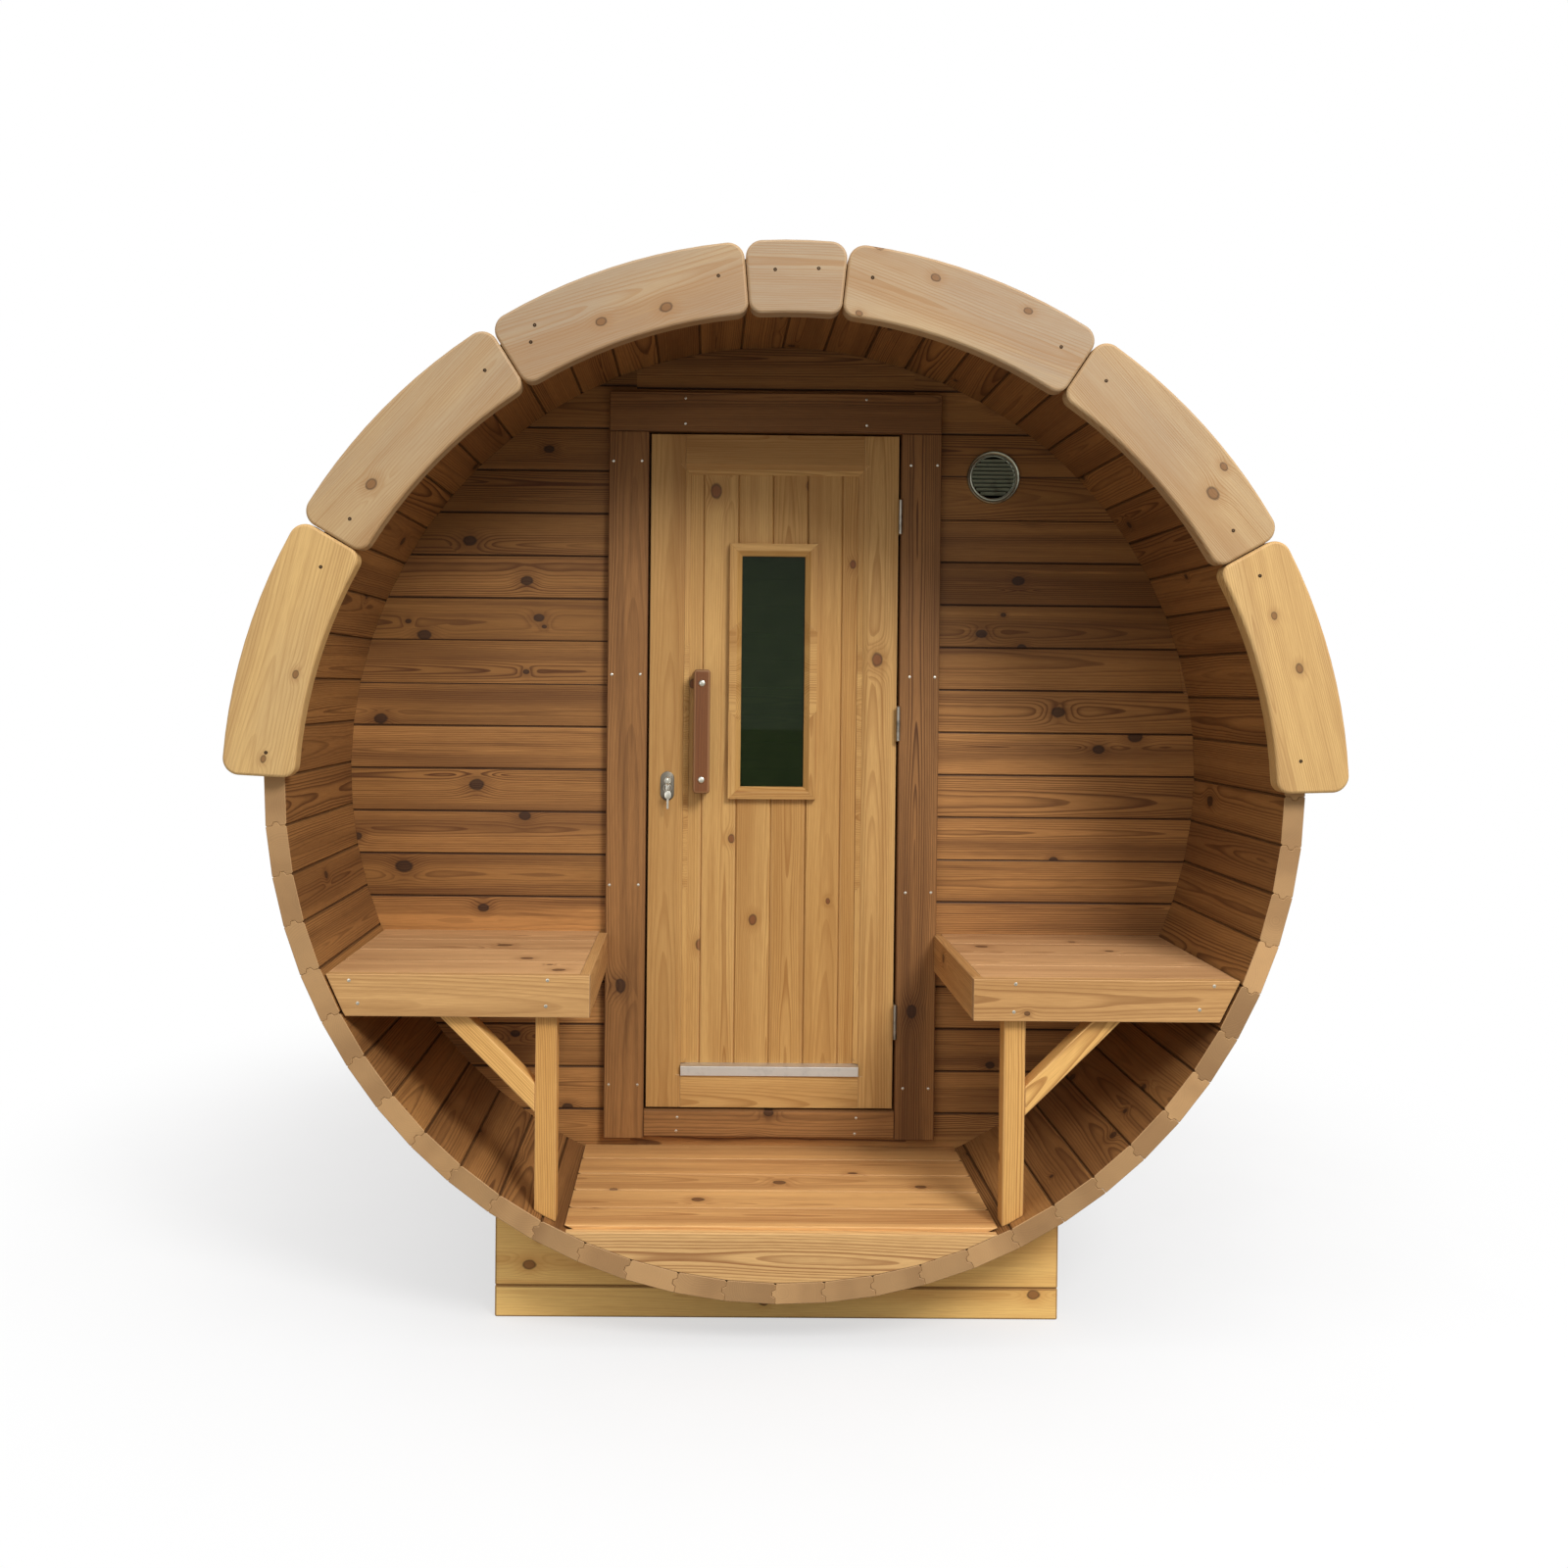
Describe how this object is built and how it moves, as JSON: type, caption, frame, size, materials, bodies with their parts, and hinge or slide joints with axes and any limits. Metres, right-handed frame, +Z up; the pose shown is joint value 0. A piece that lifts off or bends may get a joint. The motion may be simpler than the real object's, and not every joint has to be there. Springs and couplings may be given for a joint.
{
  "type": "barrel sauna",
  "caption": "Round timber barrel sauna on two cradles, with an open porch, two benches and an outward hinged door.",
  "frame": {"origin": "on the ground, under the middle of the barrel's length and width", "axes": "+X to the right seen from the porch, +Y from the porch to the back along the barrel, +Z up"},
  "size_m": [2.1374, 2.472, 2.1299],
  "materials": {
    "stave_wood": "oiled heat-treated pine",
    "arch_wood": "oiled planed pine",
    "wall_wood": "oiled heat-treated pine",
    "casing_wood": "oiled dark pine",
    "door_wood": "satin pine",
    "deck_wood": "planed, fine ribs",
    "skirt_wood": "planed pine",
    "bench_wood": "planed, fine ribs",
    "pale_wood": "planed pine",
    "cradle_wood": "sawn pine",
    "handle_wood": "oiled, dark red-brown",
    "shingle": "mineral grit",
    "steel": "zinc plated",
    "vent_metal": "satin",
    "drip_metal": "satin",
    "glass": "clear, double pane"
  },
  "bodies": {
    "cabin": {"stave_shell_1": "stave_wood", "stave_shell_2": "stave_wood", "stave_shell_3": "stave_wood", "stave_shell_4": "stave_wood", "stave_shell_5": "stave_wood", "stave_shell_6": "stave_wood", "stave_shell_7": "stave_wood", "stave_shell_8": "stave_wood", "arch_boards_front": "arch_wood", "arch_boards_rear": "arch_wood", "steel_hoops": "steel", "roof_covering": "shingle", "porch_wall_left": "wall_wood", "porch_wall_right": "wall_wood", "porch_wall_over_door": "wall_wood", "porch_wall_under_door": "wall_wood", "rear_wall": "wall_wood", "vent": "vent_metal", "porch_deck": "deck_wood", "porch_skirt": "skirt_wood", "porch_bearers": "pale_wood", "room_floor": "deck_wood", "room_bearers": "pale_wood", "door_frame": "casing_wood", "door_casing": "casing_wood", "hinges_frame": "steel", "bench_seat_left": "bench_wood", "bench_frame_left": "bench_wood", "bench_leg_left": "pale_wood", "bench_brace_left": "pale_wood", "bench_seat_right": "bench_wood", "bench_frame_right": "bench_wood", "bench_leg_right": "pale_wood", "bench_brace_right": "pale_wood", "cradle_front": "cradle_wood", "cradle_rear": "cradle_wood"},
    "door": {"door_stiles": "door_wood", "door_rails": "door_wood", "door_panel": "door_wood", "door_mouldings": "door_wood", "door_glass": "glass", "door_drip": "drip_metal", "door_handle": "handle_wood", "door_lock": "steel", "hinges_leaf": "steel"}
  },
  "joints": [
    {"name": "door_hinge", "type": "hinge", "parent": "cabin", "child": "door", "pos_m": [0.2785, -0.727, 1.095], "axis": [0, 0, 1], "range_deg": [0, 95]}
  ]
}
